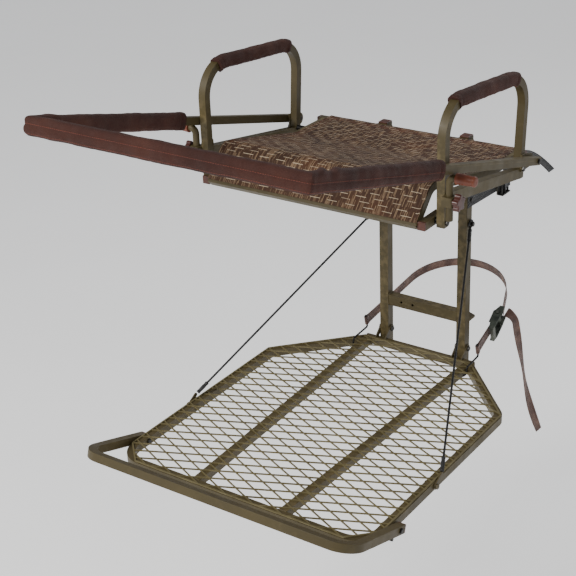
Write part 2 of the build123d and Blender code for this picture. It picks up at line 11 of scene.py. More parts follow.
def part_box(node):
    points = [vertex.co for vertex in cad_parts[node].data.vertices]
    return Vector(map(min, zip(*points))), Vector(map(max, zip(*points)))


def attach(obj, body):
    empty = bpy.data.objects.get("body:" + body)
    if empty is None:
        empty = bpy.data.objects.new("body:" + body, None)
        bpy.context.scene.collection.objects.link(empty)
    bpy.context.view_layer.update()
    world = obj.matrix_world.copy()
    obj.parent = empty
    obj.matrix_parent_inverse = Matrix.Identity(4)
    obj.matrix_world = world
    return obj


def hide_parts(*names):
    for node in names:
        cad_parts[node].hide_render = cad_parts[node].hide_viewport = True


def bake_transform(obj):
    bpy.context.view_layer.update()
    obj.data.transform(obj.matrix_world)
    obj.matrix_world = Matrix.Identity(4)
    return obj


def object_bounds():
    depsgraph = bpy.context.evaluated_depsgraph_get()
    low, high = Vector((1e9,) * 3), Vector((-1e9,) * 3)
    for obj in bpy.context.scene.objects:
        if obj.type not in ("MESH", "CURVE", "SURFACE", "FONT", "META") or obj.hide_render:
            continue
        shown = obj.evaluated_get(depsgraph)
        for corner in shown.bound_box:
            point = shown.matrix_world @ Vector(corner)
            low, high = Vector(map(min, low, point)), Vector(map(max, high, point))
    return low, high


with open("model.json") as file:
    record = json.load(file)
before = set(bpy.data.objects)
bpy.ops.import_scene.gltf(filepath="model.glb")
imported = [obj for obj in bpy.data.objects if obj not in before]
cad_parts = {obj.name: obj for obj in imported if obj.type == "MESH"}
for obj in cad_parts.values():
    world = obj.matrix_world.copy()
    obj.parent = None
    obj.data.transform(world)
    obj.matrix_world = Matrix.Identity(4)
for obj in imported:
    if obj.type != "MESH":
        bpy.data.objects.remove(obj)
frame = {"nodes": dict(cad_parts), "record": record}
cad_box = [list(v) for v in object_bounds()]
NODES = frame["nodes"]
BODY = {n: b for b, names in frame["record"]["behaviour"]["bodies"].items() for n in names}
MM = 0.001


# ---------------------------------------------------------------- materials
def srgb(r, g, b):
    out = []
    for c in (r, g, b):
        c /= 255.0
        out.append(c / 12.92 if c <= 0.04045 else ((c + 0.055) / 1.055) ** 2.4)
    return (*out, 1.0)


class Mat:
    """A node material with short calls for the nodes it needs."""

    def __init__(self, name, rough=0.5, metal=0.0, **sockets):
        self.m = bpy.data.materials.new(name)
        self.m.use_nodes = True
        self.nt = self.m.node_tree
        self.bsdf = self.nt.nodes["Principled BSDF"]
        self.bsdf.inputs["Roughness"].default_value = rough
        self.bsdf.inputs["Metallic"].default_value = metal
        for key, value in sockets.items():
            self.bsdf.inputs[key.replace("_", " ")].default_value = value
        self.last_normal = None

    def node(self, kind, **props):
        n = self.nt.nodes.new(kind)
        for key, value in props.items():
            setattr(n, key, value)
        return n

    def link(self, a, b):
        self.nt.links.new(a, b)

    def coord(self, which="Object"):
        return self.node("ShaderNodeTexCoord").outputs[which]

    def uv(self):
        return self.node("ShaderNodeUVMap", uv_map="weave").outputs[0]

    def split(self, vector):
        n = self.node("ShaderNodeSeparateXYZ")
        self.link(vector, n.inputs[0])
        return n.outputs

    def noise(self, scale, detail=3.0, rough=0.55, vector=None, stretch=None):
        n = self.node("ShaderNodeTexNoise")
        n.inputs["Scale"].default_value = scale
        n.inputs["Detail"].default_value = detail
        n.inputs["Roughness"].default_value = rough
        source = vector or self.coord()
        if stretch:
            s = self.node("ShaderNodeMapping")
            s.inputs["Scale"].default_value = stretch
            self.link(source, s.inputs["Vector"])
            source = s.outputs[0]
        self.link(source, n.inputs["Vector"])
        return n.outputs[0]

    def math(self, op, a, b=0.0, c=0.0):
        n = self.node("ShaderNodeMath", operation=op)
        for i, v in enumerate((a, b, c)):
            if isinstance(v, (int, float)):
                n.inputs[i].default_value = v
            else:
                self.link(v, n.inputs[i])
        return n.outputs[0]

    def ramp(self, fac, stops):
        n = self.node("ShaderNodeValToRGB")
        el = n.color_ramp.elements
        while len(el) < len(stops):
            el.new(0.5)
        for e, (pos, col) in zip(el, stops):
            e.position = pos
            e.color = col if len(col) == 4 else (*col, 1.0)
        self.link(fac, n.inputs[0])
        return n.outputs[0]

    def mix(self, fac, a, b, blend="MIX"):
        n = self.node("ShaderNodeMix", data_type="RGBA", blend_type=blend)
        for socket, v in ((n.inputs[0], fac), (n.inputs[6], a), (n.inputs[7], b)):
            if isinstance(v, (int, float, tuple)):
                socket.default_value = v
            else:
                self.link(v, socket)
        return n.outputs[2]

    def range(self, v, a, b, c, d):
        n = self.node("ShaderNodeMapRange")
        self.link(v, n.inputs[0])
        for i, x in enumerate((a, b, c, d)):
            n.inputs[i + 1].default_value = x
        return n.outputs[0]

    def base(self, colour):
        self.link(colour, self.bsdf.inputs["Base Color"])

    def rough(self, value):
        self.link(value, self.bsdf.inputs["Roughness"])

    def bump(self, height, strength, distance):
        n = self.node("ShaderNodeBump")
        n.inputs["Strength"].default_value = strength
        n.inputs["Distance"].default_value = distance
        self.link(height, n.inputs["Height"])
        if self.last_normal:
            self.link(self.last_normal, n.inputs["Normal"])
        self.last_normal = n.outputs[0]
        self.link(self.last_normal, self.bsdf.inputs["Normal"])


def paint_material(name, dark, mid, light, rough=0.46):
    """Powder coat: orange peel, soft colour drift, rubbed edges and dust."""
    m = Mat(name, rough, Specular_IOR_Level=0.3)
    drift = m.ramp(m.noise(7.0, 4.0), [(0.3, dark), (0.7, mid)])
    streak = m.noise(38.0, 5.0, 0.65)
    drift = m.mix(m.range(streak, 0.55, 0.85, 0.0, 0.35), drift, light)
    edge = m.node("ShaderNodeNewGeometry").outputs["Pointiness"]
    rubbed = m.range(edge, 0.53, 0.60, 0.0, 1.0)
    worn = m.math("MULTIPLY", rubbed, m.range(m.noise(60.0, 4.0), 0.42, 0.62, 0.0, 0.75))
    m.base(m.mix(worn, drift, light))
    m.rough(m.range(m.noise(24.0, 3.0), 0.3, 0.7, rough - 0.06, rough + 0.12))
    m.bump(m.noise(620.0, 2.0), 0.16, 0.0003)
    m.bump(m.noise(60.0, 2.0), 0.05, 0.001)
    return m.m


def plastic_material(name, dark, light, rough=0.42):
    """Moulded plastic: fine spark-eroded grain and faint flow marks."""
    m = Mat(name, rough, Specular_IOR_Level=0.5)
    m.base(m.ramp(m.noise(45.0, 4.0, stretch=(1.0, 1.0, 0.35)), [(0.3, dark), (0.72, light)]))
    m.rough(m.range(m.noise(90.0, 2.0), 0.3, 0.7, rough - 0.05, rough + 0.12))
    m.bump(m.noise(900.0, 2.0), 0.25, 0.0002)
    return m.m


def steel_material(name, dark, light, metal=0.75, rough=0.38):
    """Oxide or zinc on steel, with thin scratches and worn edges."""
    m = Mat(name, rough, metal)
    tone = m.ramp(m.noise(55.0, 5.0), [(0.3, dark), (0.75, light)])
    edge = m.node("ShaderNodeNewGeometry").outputs["Pointiness"]
    m.base(m.mix(m.range(edge, 0.54, 0.62, 0.0, 0.6), tone, srgb(120, 116, 108)))
    m.rough(m.range(m.noise(130.0, 3.0), 0.3, 0.7, rough - 0.08, rough + 0.16))
    m.bump(m.noise(420.0, 4.0, stretch=(1.0, 6.0, 1.0)), 0.2, 0.00025)
    return m.m


def web_material(name, dark, mid, light, pitch=0.0017, sheen=0.25):
    """Herringbone webbing read from the weave map, in metres: u across, v along."""
    m = Mat(name, 0.72, Sheen_Weight=sheen, Sheen_Roughness=0.45, Specular_IOR_Level=0.3)
    u, v, _ = m.split(m.uv())
    zig = m.math("PINGPONG", u, 0.0042)
    twill = m.math("SINE", m.math("MULTIPLY", m.math("ADD", v, zig), 2 * math.pi / pitch))
    rib = m.math("SINE", m.math("MULTIPLY", u, 2 * math.pi / 0.0014))
    weave = m.math("ADD", m.math("MULTIPLY", twill, 0.6), m.math("MULTIPLY", rib, 0.4))
    wear = m.noise(34.0, 4.0)
    # painted light and shade: the weave's relief makes raised threads lighter and grooves darker; the wear
    # noise adds its own random tone
    weave_shading_and_wear = m.math("ADD", m.math("MULTIPLY", weave, 0.18), wear)
    m.base(m.ramp(weave_shading_and_wear, [(0.3, dark), (0.52, mid), (0.78, light)]))
    m.bump(weave, 0.65, 0.0005)
    m.bump(m.noise(900.0, 2.0), 0.2, 0.0002)
    return m.m


def pad_material():
    """Coarse nylon over foam: plain weave, painted chalky highlights on the raised slubs, redder towards the
    seams.
    """
    m = Mat("PadFabric", 0.8, Sheen_Weight=0.02, Sheen_Roughness=0.5, Specular_IOR_Level=0.2)
    u, v, _ = m.split(m.uv())
    k = 2 * math.pi / 0.0016
    over = m.math("SINE", m.math("MULTIPLY", u, k))
    weave = m.math("MULTIPLY", over, m.math("SINE", m.math("MULTIPLY", v, k)))
    slub = m.noise(220.0, 3.0, vector=m.uv(), stretch=(6.0, 1.0, 1.0))
    browns = [(0.25, srgb(44, 23, 19)), (0.55, srgb(63, 34, 27)), (0.85, srgb(88, 52, 39))]
    tone = m.ramp(m.noise(9.0, 5.0, 0.6), browns)
    # painted highlight: paler where the slubs stand up in the bump
    tone = m.mix(m.range(slub, 0.45, 0.75, 0.0, 0.3), tone, srgb(110, 74, 60))
    tone = m.mix(m.range(weave, -0.2, 1.0, 0.0, 0.25), tone, srgb(46, 28, 27))
    m.base(tone)
    m.rough(m.range(m.noise(40.0, 3.0), 0.3, 0.7, 0.6, 0.82))
    m.bump(weave, 0.5, 0.0005)
    m.bump(slub, 0.3, 0.0006)
    return m.m


def sling_material():
    """Woven sling: warp threads front to back, pale weft floats stepping across in diagonals."""
    m = Mat("SlingWeave", 0.74, Specular_IOR_Level=0.2)
    x, y, z = m.split(m.coord())
    v = m.math("ADD", y, m.math("MULTIPLY", z, 0.45))
    row_h, cell = 0.0115, 0.046
    row = m.math("FLOOR", m.math("DIVIDE", v, row_h))
    swing = m.math("PINGPONG", row, 7.0)
    shifted = m.math("ADD", m.math("DIVIDE", x, cell), m.math("MULTIPLY", swing, 0.31))
    cell_id = m.math("FLOOR", shifted)
    in_cell = m.math("FRACT", shifted)
    in_row = m.math("FRACT", m.math("DIVIDE", v, row_h))
    jitter = m.node("ShaderNodeTexWhiteNoise", noise_dimensions="2D")
    ids = m.node("ShaderNodeCombineXYZ")
    m.link(cell_id, ids.inputs[0])
    m.link(row, ids.inputs[1])
    m.link(ids.outputs[0], jitter.inputs["Vector"])
    length = m.math("MULTIPLY", jitter.outputs[0], 0.16)
    on_x = m.math("LESS_THAN", in_cell, m.math("ADD", length, 0.44))
    off = m.math("ABSOLUTE", m.math("SUBTRACT", in_row, 0.5))
    on_y = m.math("LESS_THAN", off, 0.055)
    dash = m.math("MULTIPLY", on_x, on_y)
    bright = m.math("MULTIPLY", dash, m.math("ADD", m.math("MULTIPLY", jitter.outputs[0], 0.55), 0.4))
    # warp: thin threads in x, some of them tan, each broken up at its own places along its length
    thread = m.math("DIVIDE", x, 0.0024)
    thread_id = m.math("FLOOR", thread)
    stagger = m.node("ShaderNodeTexWhiteNoise", noise_dimensions="1D")
    m.link(thread_id, stagger.inputs["W"])
    along = m.math("DIVIDE", v, 0.021)
    block = m.math("FLOOR", m.math("ADD", along, m.math("MULTIPLY", stagger.outputs[0], 5.0)))
    pick = m.node("ShaderNodeTexWhiteNoise", noise_dimensions="2D")
    ids2 = m.node("ShaderNodeCombineXYZ")
    m.link(thread_id, ids2.inputs[0])
    m.link(block, ids2.inputs[1])
    m.link(ids2.outputs[0], pick.inputs["Vector"])
    warp = m.math("ABSOLUTE", m.math("SINE", m.math("MULTIPLY", thread, math.pi)))
    weft = m.math("ABSOLUTE", m.math("SINE", m.math("MULTIPLY", v, math.pi / 0.0023)))
    browns = [(0.28, srgb(58, 40, 30)), (0.55, srgb(76, 53, 40)), (0.8, srgb(98, 62, 40))]
    body = m.ramp(m.noise(11.0, 4.0), browns)
    tan = m.range(pick.outputs[0], 0.5, 1.0, 0.0, 0.75)
    tone = m.mix(m.math("MULTIPLY", tan, warp), body, srgb(172, 144, 112))
    # painted shade: the grooves between warp threads, where the bump is low, are darkened towards a
    # near-black brown
    tone = m.mix(m.math("SUBTRACT", 0.34, m.math("MULTIPLY", warp, 0.34)), tone, srgb(30, 19, 16))
    tone = m.mix(bright, tone, srgb(222, 204, 174))
    m.base(tone)
    pressed = m.math("ADD", m.math("MULTIPLY", weft, 0.4), 0.6)
    height = m.math("ADD", m.math("MULTIPLY", warp, pressed), dash)
    m.bump(height, 0.7, 0.0007)
    m.rough(m.range(m.noise(70.0, 3.0), 0.3, 0.7, 0.58, 0.8))
    return m.m


def cable_material():
    m = Mat("CableCoat", 0.4, Specular_IOR_Level=0.45)
    m.base(m.ramp(m.noise(120.0, 4.0), [(0.3, srgb(16, 16, 17)), (0.75, srgb(38, 37, 36))]))
    m.rough(m.range(m.noise(200.0, 3.0), 0.3, 0.7, 0.32, 0.5))
    m.bump(m.noise(700.0, 2.0), 0.2, 0.0002)
    return m.m


def floor_material():
    m = Mat("Floor", 0.85, Emission_Color=(1.0, 1.0, 1.0, 1.0), Emission_Strength=0.46)
    m.base(m.ramp(m.noise(1.5, 3.0), [(0.3, (0.86, 0.86, 0.855)), (0.7, (0.89, 0.89, 0.885))]))
    return m.m


OLIVE = paint_material("FramePaint", srgb(70, 61, 38), srgb(80, 70, 44), srgb(108, 95, 64))
MESH_PAINT = paint_material("DeckPaint", srgb(92, 83, 55), srgb(110, 100, 68), srgb(156, 146, 110), 0.5)
RED = plastic_material("CapPlastic", srgb(60, 30, 20), srgb(90, 44, 27))
PEG = plastic_material("PegPlastic", srgb(96, 44, 25), srgb(126, 62, 34))
KNOB = plastic_material("KnobPlastic", srgb(56, 27, 23), srgb(82, 42, 33), 0.36)
BLACK = plastic_material("BlackPlastic", srgb(20, 20, 20), srgb(38, 37, 36), 0.5)
BOLT = steel_material("BoltSteel", srgb(24, 23, 23), srgb(56, 54, 52))
ZINC = steel_material("BuckleZinc", srgb(48, 54, 48), srgb(92, 98, 86), 0.7, 0.4)
PAD = pad_material()
SLING = sling_material()
CABLE = cable_material()
WEB_BROWN = web_material("WebBrown", srgb(72, 50, 44), srgb(104, 76, 66), srgb(146, 116, 100))
WEB_BLACK = web_material("WebBlack", srgb(12, 12, 13), srgb(26, 26, 28), srgb(52, 52, 54))
THREAD = plastic_material("SeamThread", srgb(104, 48, 36), srgb(136, 66, 46), 0.7)


# ---------------------------------------------------------------- mesh helpers
def link_object(name, mesh, material):
    ob = bpy.data.objects.new(name, mesh)
    bpy.context.scene.collection.objects.link(ob)
    mesh.materials.clear()
    mesh.materials.append(material)
    return ob


def applied(ob):
    """The object's modifiers made real."""
    depsgraph = bpy.context.evaluated_depsgraph_get()
    mesh = bpy.data.meshes.new_from_object(ob.evaluated_get(depsgraph))
    ob.modifiers.clear()
    ob.data = mesh
    return ob


def dress(node, material, bevel=0.9, segments=2, angle=32.0):
    """A copy of a CAD node with rounded edges and clean shading that stands for the node."""
    mesh = NODES[node].data.copy()
    bm = bmesh.new()
    bm.from_mesh(mesh)
    bmesh.ops.remove_doubles(bm, verts=bm.verts, dist=2e-6)
    bmesh.ops.dissolve_limit(bm, angle_limit=math.radians(0.8), verts=bm.verts, edges=bm.edges)
    bm.to_mesh(mesh)
    bm.free()
    ob = link_object("v_" + node, mesh, material)
    if bevel:
        mod = ob.modifiers.new("edges", "BEVEL")
        mod.width = bevel * MM
        mod.segments = segments
        mod.limit_method = "ANGLE"
        mod.angle_limit = math.radians(angle)
        mod.harden_normals = True
        mod.use_clamp_overlap = True
    tri = ob.modifiers.new("tri", "TRIANGULATE")
    tri.quad_method = "BEAUTY"
    for p in mesh.polygons:
        p.use_smooth = True
    mesh.set_sharp_from_angle(angle=math.radians(38))
    applied(ob)
    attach(ob, BODY[node])
    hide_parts(node)
    return ob


def surface(name, rings, material, caps=False, uvs=None):
    """Skin over closed rings of points; uvs gives (u, v) in metres, with one column more than the ring."""
    n = len(rings[0])
    verts = [tuple(p) for ring in rings for p in ring]
    faces, loops = [], []
    for i in range(len(rings) - 1):
        for j in range(n):
            k = (j + 1) % n
            faces.append((i * n + j, i * n + k, (i + 1) * n + k, (i + 1) * n + j))
            if uvs:
                loops += [uvs[i][j], uvs[i][j + 1], uvs[i + 1][j + 1], uvs[i + 1][j]]
    if caps:
        for i, order in ((0, range(n - 1, -1, -1)), (len(rings) - 1, range(n))):
            faces.append(tuple(i * n + j for j in order))
            if uvs:
                loops += [uvs[i][j] for j in order]
    mesh = bpy.data.meshes.new(name)
    mesh.from_pydata(verts, [], faces)
    if uvs:
        layer = mesh.uv_layers.new(name="weave")
        layer.data.foreach_set("uv", [c for uv in loops for c in uv])
    for p in mesh.polygons:
        p.use_smooth = True
    mesh.set_sharp_from_angle(angle=math.radians(50))
    return link_object(name, mesh, material)


def corner_arc(a, b, c, radius, pieces):
    """Points of the arc that rounds corner b between a and c; pieces gives their number from the turn."""
    u, v = (a - b).normalized(), (c - b).normalized()
    half_turn = (math.pi - u.angle(v)) / 2
    cut = radius * math.tan(half_turn)
    centre = b + (u + v).normalized() * (radius / math.cos(half_turn))
    e0, e1 = b + u * cut - centre, b + v * cut - centre
    arc = e0.angle(e1)
    count = pieces(arc)
    out = []
    for i in range(count + 1):
        t = i / count
        out.append(centre + (e0 * math.sin((1 - t) * arc) + e1 * math.sin(t * arc)) / math.sin(arc))
    return out


def station_path(points, radius, step):
    """Evenly spaced (point, heading, distance) along straight runs joined by arcs, for a tube's cover."""
    pts = [Vector(p) for p in points]
    dense = [pts[0]]
    for corner in zip(pts, pts[1:], pts[2:]):
        dense += corner_arc(*corner, radius, lambda arc: max(3, int(arc * radius / (step * 0.7))))
    dense.append(pts[-1])
    return resample(dense, step)


def resample(dense, step):
    lengths = [0.0]
    for a, b in zip(dense, dense[1:]):
        lengths.append(lengths[-1] + (b - a).length)
    total = lengths[-1]
    count = max(2, round(total / step))
    marks = np.linspace(0, total, count + 1)
    cols = [np.interp(marks, lengths, [p[k] for p in dense]) for k in range(3)]
    pts = [Vector(c) for c in zip(*cols)]
    out = []
    for i, p in enumerate(pts):
        a, b = pts[max(i - 1, 0)], pts[min(i + 1, count)]
        out.append((p, (b - a).normalized(), float(marks[i])))
    return out


def tilted(pivot, degrees, reach, x, lift=0.0):
    """Point in a plane that rises towards the user from pivot (y, z), in mm, as metres."""
    c, s = math.cos(math.radians(degrees)), math.sin(math.radians(degrees))
    return Vector((x, pivot[0] - reach * c + lift * s, pivot[1] + reach * s + lift * c)) * MM


def wobble(p, scale, seed=0.0):
    return noise.noise(Vector((p.x * scale + seed, p.y * scale - seed, p.z * scale + 3.1 * seed)))


def finish_piece(ob, body, slot, *nodes):
    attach(ob, body)
    if nodes:
        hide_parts(*nodes)
    return ob


def bead(name, runs, body, r=1.7, closed=False):
    """Weld beads with a ripple, one object for several runs of points in mm."""
    verts, faces = [], []
    for run in runs:
        pts = [Vector(p) * MM for p in run]
        if closed:
            pts.append(pts[0].copy())
        line = resample(pts, 0.0013)
        m = 8
        start = len(verts)
        for p, h, s in line:
            side = h.orthogonal().normalized()
            up = h.cross(side)
            rr = r * MM * (1 + 0.16 * math.sin(s * 2 * math.pi / 0.0034) + 0.25 * wobble(p, 130.0, 2.0))
            for j in range(m):
                a = 2 * math.pi * j / m
                verts.append(p + (side * math.cos(a) + up * math.sin(a)) * rr)
        for i in range(len(line) - 1):
            for j in range(m):
                k = (j + 1) % m
                b0, b1 = start + i * m, start + (i + 1) * m
                faces.append((b0 + j, b0 + k, b1 + k, b1 + j))
        last = start + (len(line) - 1) * m
        faces.append(tuple(start + j for j in range(m - 1, -1, -1)))
        faces.append(tuple(last + j for j in range(m)))
    mesh = bpy.data.meshes.new(name)
    mesh.from_pydata([tuple(v) for v in verts], [], faces)
    for p in mesh.polygons:
        p.use_smooth = True
    return finish_piece(link_object(name, mesh, OLIVE), body, "frame_paint")


# ---------------------------------------------------------------- metal and plastic nodes
tubes = ["post_left", "post_right", "cross_bar_low", "cross_bar_top", "front_rail", "rear_member",
         "side_rail_left", "side_rail_right", "stringers", "footrest_arm_left", "footrest_arm_right",
         "footrest_bar"]
seat_tubes = ["seat_rear_tube", "seat_front_tube", "seat_side_left", "seat_side_right", "seat_stubs",
              "hoop_left", "hoop_right", "arm_links", "rail_arm_left", "rail_arm_right", "rail_bar"]
for n in tubes:
    dress(n, OLIVE, 1.9, 3)
for n in seat_tubes:
    dress(n, OLIVE, 1.7, 3)
for n in ("tree_brackets", "fold_lugs", "seat_lugs", "rail_ears", "cable_anchors"):
    dress(n, OLIVE, 0.5)
dress("support_clamps", OLIVE, 0.8)
for n in ("support_left", "support_right"):
    dress(n, OLIVE, 0.9)
dress("deck_mesh", MESH_PAINT, 0.55, 1)
for n in ("post_caps", "footrest_plugs"):
    dress(n, RED, 1.4, 3)
dress("seat_caps", RED, 1.2, 3)
for n in ("post_bolts", "footrest_hardware", "seat_bolts"):
    dress(n, BOLT, 0.45, 2)
dress("hooks", BOLT, 0.6, 2)
for n in ("knob_left", "knob_right"):
    dress(n, KNOB, 1.0, 3)
for n in ("ratchet_body", "ratchet_handle", "ratchet_spool", "buckle_top"):
    dress(n, ZINC if n != "buckle_top" else BOLT, 0.5, 2)

# ---------------------------------------------------------------- tapered peg grips
for side, s in (("left", -1), ("right", 1)):
    lo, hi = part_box("support_grip_" + side)
    centre_y, centre_z = (lo.y + hi.y) / 2, (lo.z + hi.z) / 2
    rings, uvs = [], []
    inner_x = 0.348
    profile = [(0.0, 8.2), (0.0, 11.4), (0.6, 12.4), (3.0, 12.6), (4.0, 11.9)]
    profile += [(4.0 + 4.5 * i, 12.0 - 0.24 * i + (0.35 if i % 2 else 0.0)) for i in range(1, 8)]
    profile += [(37.0, 10.6), (38.2, 11.3), (42.5, 11.1), (44.1, 9.8), (44.5, 7.0), (44.6, 3.0), (44.6, 0.4)]
    count = 40
    for along, r in profile:
        ring = []
        for j in range(count):
            a = 2 * math.pi * j / count
            x = s * (inner_x + along * MM)
            ring.append((x, centre_y + r * MM * math.cos(a), centre_z + s * r * MM * math.sin(a)))
        rings.append(ring)
    grip = surface("peg_grip_" + side, rings, PEG)
    finish_piece(grip, "support_" + side[0], "cap_red", "support_grip_" + side)

# ---------------------------------------------------------------- weld beads
def tube_loop(x, y, z, half_x, half_z, across="y"):
    """Corner points of a square loop round a tube end that meets a face."""
    corners = [(-half_x, -half_z), (half_x, -half_z), (half_x, half_z), (-half_x, half_z)]
    if across == "y":
        return [(x + a, y, z + b) for a, b in corners]
    return [(x, y + a, z + b) for a, b in corners]


def lug_faces(s):
    """X of the four outer and inner weld lines of the hinge lugs on one side."""
    return [s * 115.0 + k for k in (13.0, 16.0, -13.0, -16.0)]


STRINGER_ENDS = ((119.3, -870), (150.2, -77.2))
runs = [tube_loop(s * x, y, 0, 10.2, 9.6) for s in (-1, 1) for x, y in STRINGER_ENDS]
bead("weld_stringers", runs, "platform", closed=True)
runs = []
for s in (-1, 1):
    runs.append([(s * 137.5, -77.0, -10.2), (s * 161.5, -67.5, -10.2), (s * 162.2, -58.0, -10.0)])
    runs.append([(s * 162.3, -60.0, -9.0), (s * 162.3, -60.0, 9.0)])
bead("weld_rear", runs, "platform")
runs = []
for z in (122.0, 560.0):
    for s in (-1, 1):
        runs.append(tube_loop(s * 102.4, -37, z, 12.6, 12.6, "x"))
bead("weld_cross_bars", runs, "post", closed=True)
runs = []
for s in (-1, 1):
    runs += [[(x, -71.5, 10.3), (x, -57.3, 10.3)] for x in lug_faces(s)]
bead("weld_fold_lugs", runs, "platform", 1.2)
runs = []
for s in (-1, 1):
    runs += [[(x, -65.3, 593.0), (x, -65.3, 611.0)] for x in lug_faces(s)]
    runs += [[(s * x, -503.8, 651.0), (s * x, -503.8, 676.0)] for x in (300.6, 319.4)]
    runs.append([(s * 301.5, -503.8, 676.5), (s * 318.5, -503.8, 676.5)])
    runs += [[(s * 320.0, -515.0, z), (s * 320.0, -523.0, z)] for z in (669.2, 646.8)]
    runs.append([(s * 274.4, -543.0, 588.0), (s * 274.4, -563.0, 600.0)])
bead("weld_seat", runs, "seat", 1.3)


# ---------------------------------------------------------------- seat sling
SLING_LINE = [(-66.0, 612.9), (-220.8, 612.9), (-495.7, 675.0), (-562.7, 603.6)]
SLING_RADII = (60.0, 45.0)


def sling_stations():
    """The sling's profile with its wide curl over the crest and tight wrap at the nose."""
    pts = [Vector((0, y, z)) for y, z in SLING_LINE]
    dense = [pts[0]]
    for corner, radius in zip(zip(pts, pts[1:], pts[2:]), SLING_RADII):
        dense += corner_arc(*corner, radius, lambda arc: 12)
    dense.append(pts[-1])
    return resample([p * MM for p in dense], 0.0045)


ripple_top = 0.8  # share of the sling's length that lies over the frame
stations = sling_stations()
total = stations[-1][2]
across = 96
rings = []
for p, h, s in stations:
    up = Vector((0, -h.z, h.y)) if h.y < 0 else Vector((0, h.z, -h.y))
    if up.z < 0 and s < total * ripple_top:
        up = -up
    half_w = 0.2745 - 0.0115 * max(0.0, (p.y + 0.48) / 0.43) if p.y > -0.48 else 0.2745
    top, low = [], []
    for j in range(across + 1):
        t = -1 + 2 * j / across
        x = half_w * t
        inside = max(0.0, 1 - abs(t) ** 6)
        span = math.sin(math.pi * min(1.0, s / (total * 0.82)))
        sag = 0.0035 * (1 - t * t) * max(0.0, span)
        spot = Vector((x, p.y, 0))
        ripple = 0.0009 * wobble(spot, 14.0, 1.0) * inside + 0.0004 * wobble(spot, 55.0, 4.0)
        hem = 0.0006 if abs(t) > 0.955 else 0.0
        curl = 0.0028 * max(0.0, (abs(t) - 0.985) / 0.015) ** 2
        off = 0.0013 + hem + ripple - sag - curl
        base = Vector((x, p.y, p.z))
        top.append(base + up * off)
        low.append(base + up * (off - 0.0024 - 0.3 * hem))
    rings.append(top + low[::-1])
sling = surface("seat_sling", rings, SLING, caps=True)
finish_piece(sling, "seat", "sling_fabric", "sling")


def stitches(name, lines, body, slot, material, gap=0.0046, size=0.0030, thick=0.00042):
    """Rows of short sewn stitches: each line is (points, heights) already in place."""
    verts, faces = [], []
    for line in lines:
        for p, h, s in resample([Vector(q) for q in line], gap):
            side = h.orthogonal().normalized()
            up = h.cross(side)
            start = len(verts)
            for k, r in ((-0.5, 0.35), (-0.3, 1.0), (0.3, 1.0), (0.5, 0.35)):
                for j in range(6):
                    a = math.pi * j / 3
                    out = (side * math.cos(a) + up * math.sin(a)) * thick * r
                    verts.append(tuple(p + h * (k * size) + out))
            for i in range(3):
                for j in range(6):
                    k = (j + 1) % 6
                    b0, b1 = start + i * 6, start + (i + 1) * 6
                    faces.append((b0 + j, b0 + k, b1 + k, b1 + j))
            faces.append(tuple(start + j for j in range(5, -1, -1)))
            faces.append(tuple(start + 18 + j for j in range(6)))
    mesh = bpy.data.meshes.new(name)
    mesh.from_pydata(verts, [], faces)
    for p in mesh.polygons:
        p.use_smooth = True
    return finish_piece(link_object(name, mesh, material), body, slot)


edge_lines = []
for j in (2, 5, across - 5, across - 2):
    edge_lines.append([r[j] + Vector((0, 0, 0.0001)) for r in rings[2:-6]])
for i in (3, 5):
    edge_lines.append([rings[i][j] + Vector((0, 0, 0.0001)) for j in range(3, across - 2)])
stitches("sling_stitches", edge_lines, "seat", "sling_fabric", THREAD)

# ---------------------------------------------------------------- padded sleeves
NORMAL = Vector((0, math.sin(math.radians(15.3)), math.cos(math.radians(15.3))))
RAIL = dict(pivot=(-120.0, 612.0), tilt=15.3, reach=947.6)


def rail_point(d, s, lift=0.0):
    return tilted(RAIL["pivot"], RAIL["tilt"], d, s * (335.0 - 5.0 * d / RAIL["reach"]), lift)


def squircle(a, half_x, half_y, power):
    c, s = abs(math.cos(a)) / half_x, abs(math.sin(a)) / half_y
    r = (c ** power + s ** power) ** (-1 / power)
    return r * math.cos(a), r * math.sin(a)


PAD_START = 472.0
PAD_ENDS = [(PAD_START, -1), (RAIL["reach"], -1), (RAIL["reach"], 1), (PAD_START, 1)]
PAD_CORNERS = [rail_point(reach, s) for reach, s in PAD_ENDS]


def mitred_stations(corners, step):
    """Stations along straight legs that meet in mitres, and the whole length.

    A station is a function from a profile point to its place, the distance along, and the distance to the
    nearest mitre."""
    legs = [(b - a) for a, b in zip(corners, corners[1:])]
    turns = [0.0] + [math.tan(u.angle(v) / 2) for u, v in zip(legs, legs[1:])] + [0.0]
    base, out = 0.0, []
    for k, leg in enumerate(legs):
        length, h = leg.length, leg.normalized()
        side = h.cross(NORMAL).normalized()
        count = math.ceil(length / step)
        for i in range(0 if k == 0 else 1, count + 1):
            f = i / count
            near = min([f * length] * (k > 0) + [(1 - f) * length] * (k < len(legs) - 1))

            def place(x, y, a=corners[k], h=h, side=side, f=f, length=length, t0=turns[k], t1=turns[k + 1]):
                return a + h * (f * length - x * t0 * (1 - f) + x * t1 * f) + side * x + NORMAL * y

            out.append((place, base + f * length, near))
        base += length
    return out, base


line, pad_length = mitred_stations(PAD_CORNERS, 0.0034)
corner_left = (PAD_CORNERS[1] - PAD_CORNERS[0]).length
corner_right = pad_length - corner_left
count = 48
START_ANGLE = 0.31


def seam_angle(s):
    return 0.42 - 0.55 * s / pad_length


def bump_at(x, centre, width):
    return math.exp(-((x - centre) / width) ** 2)


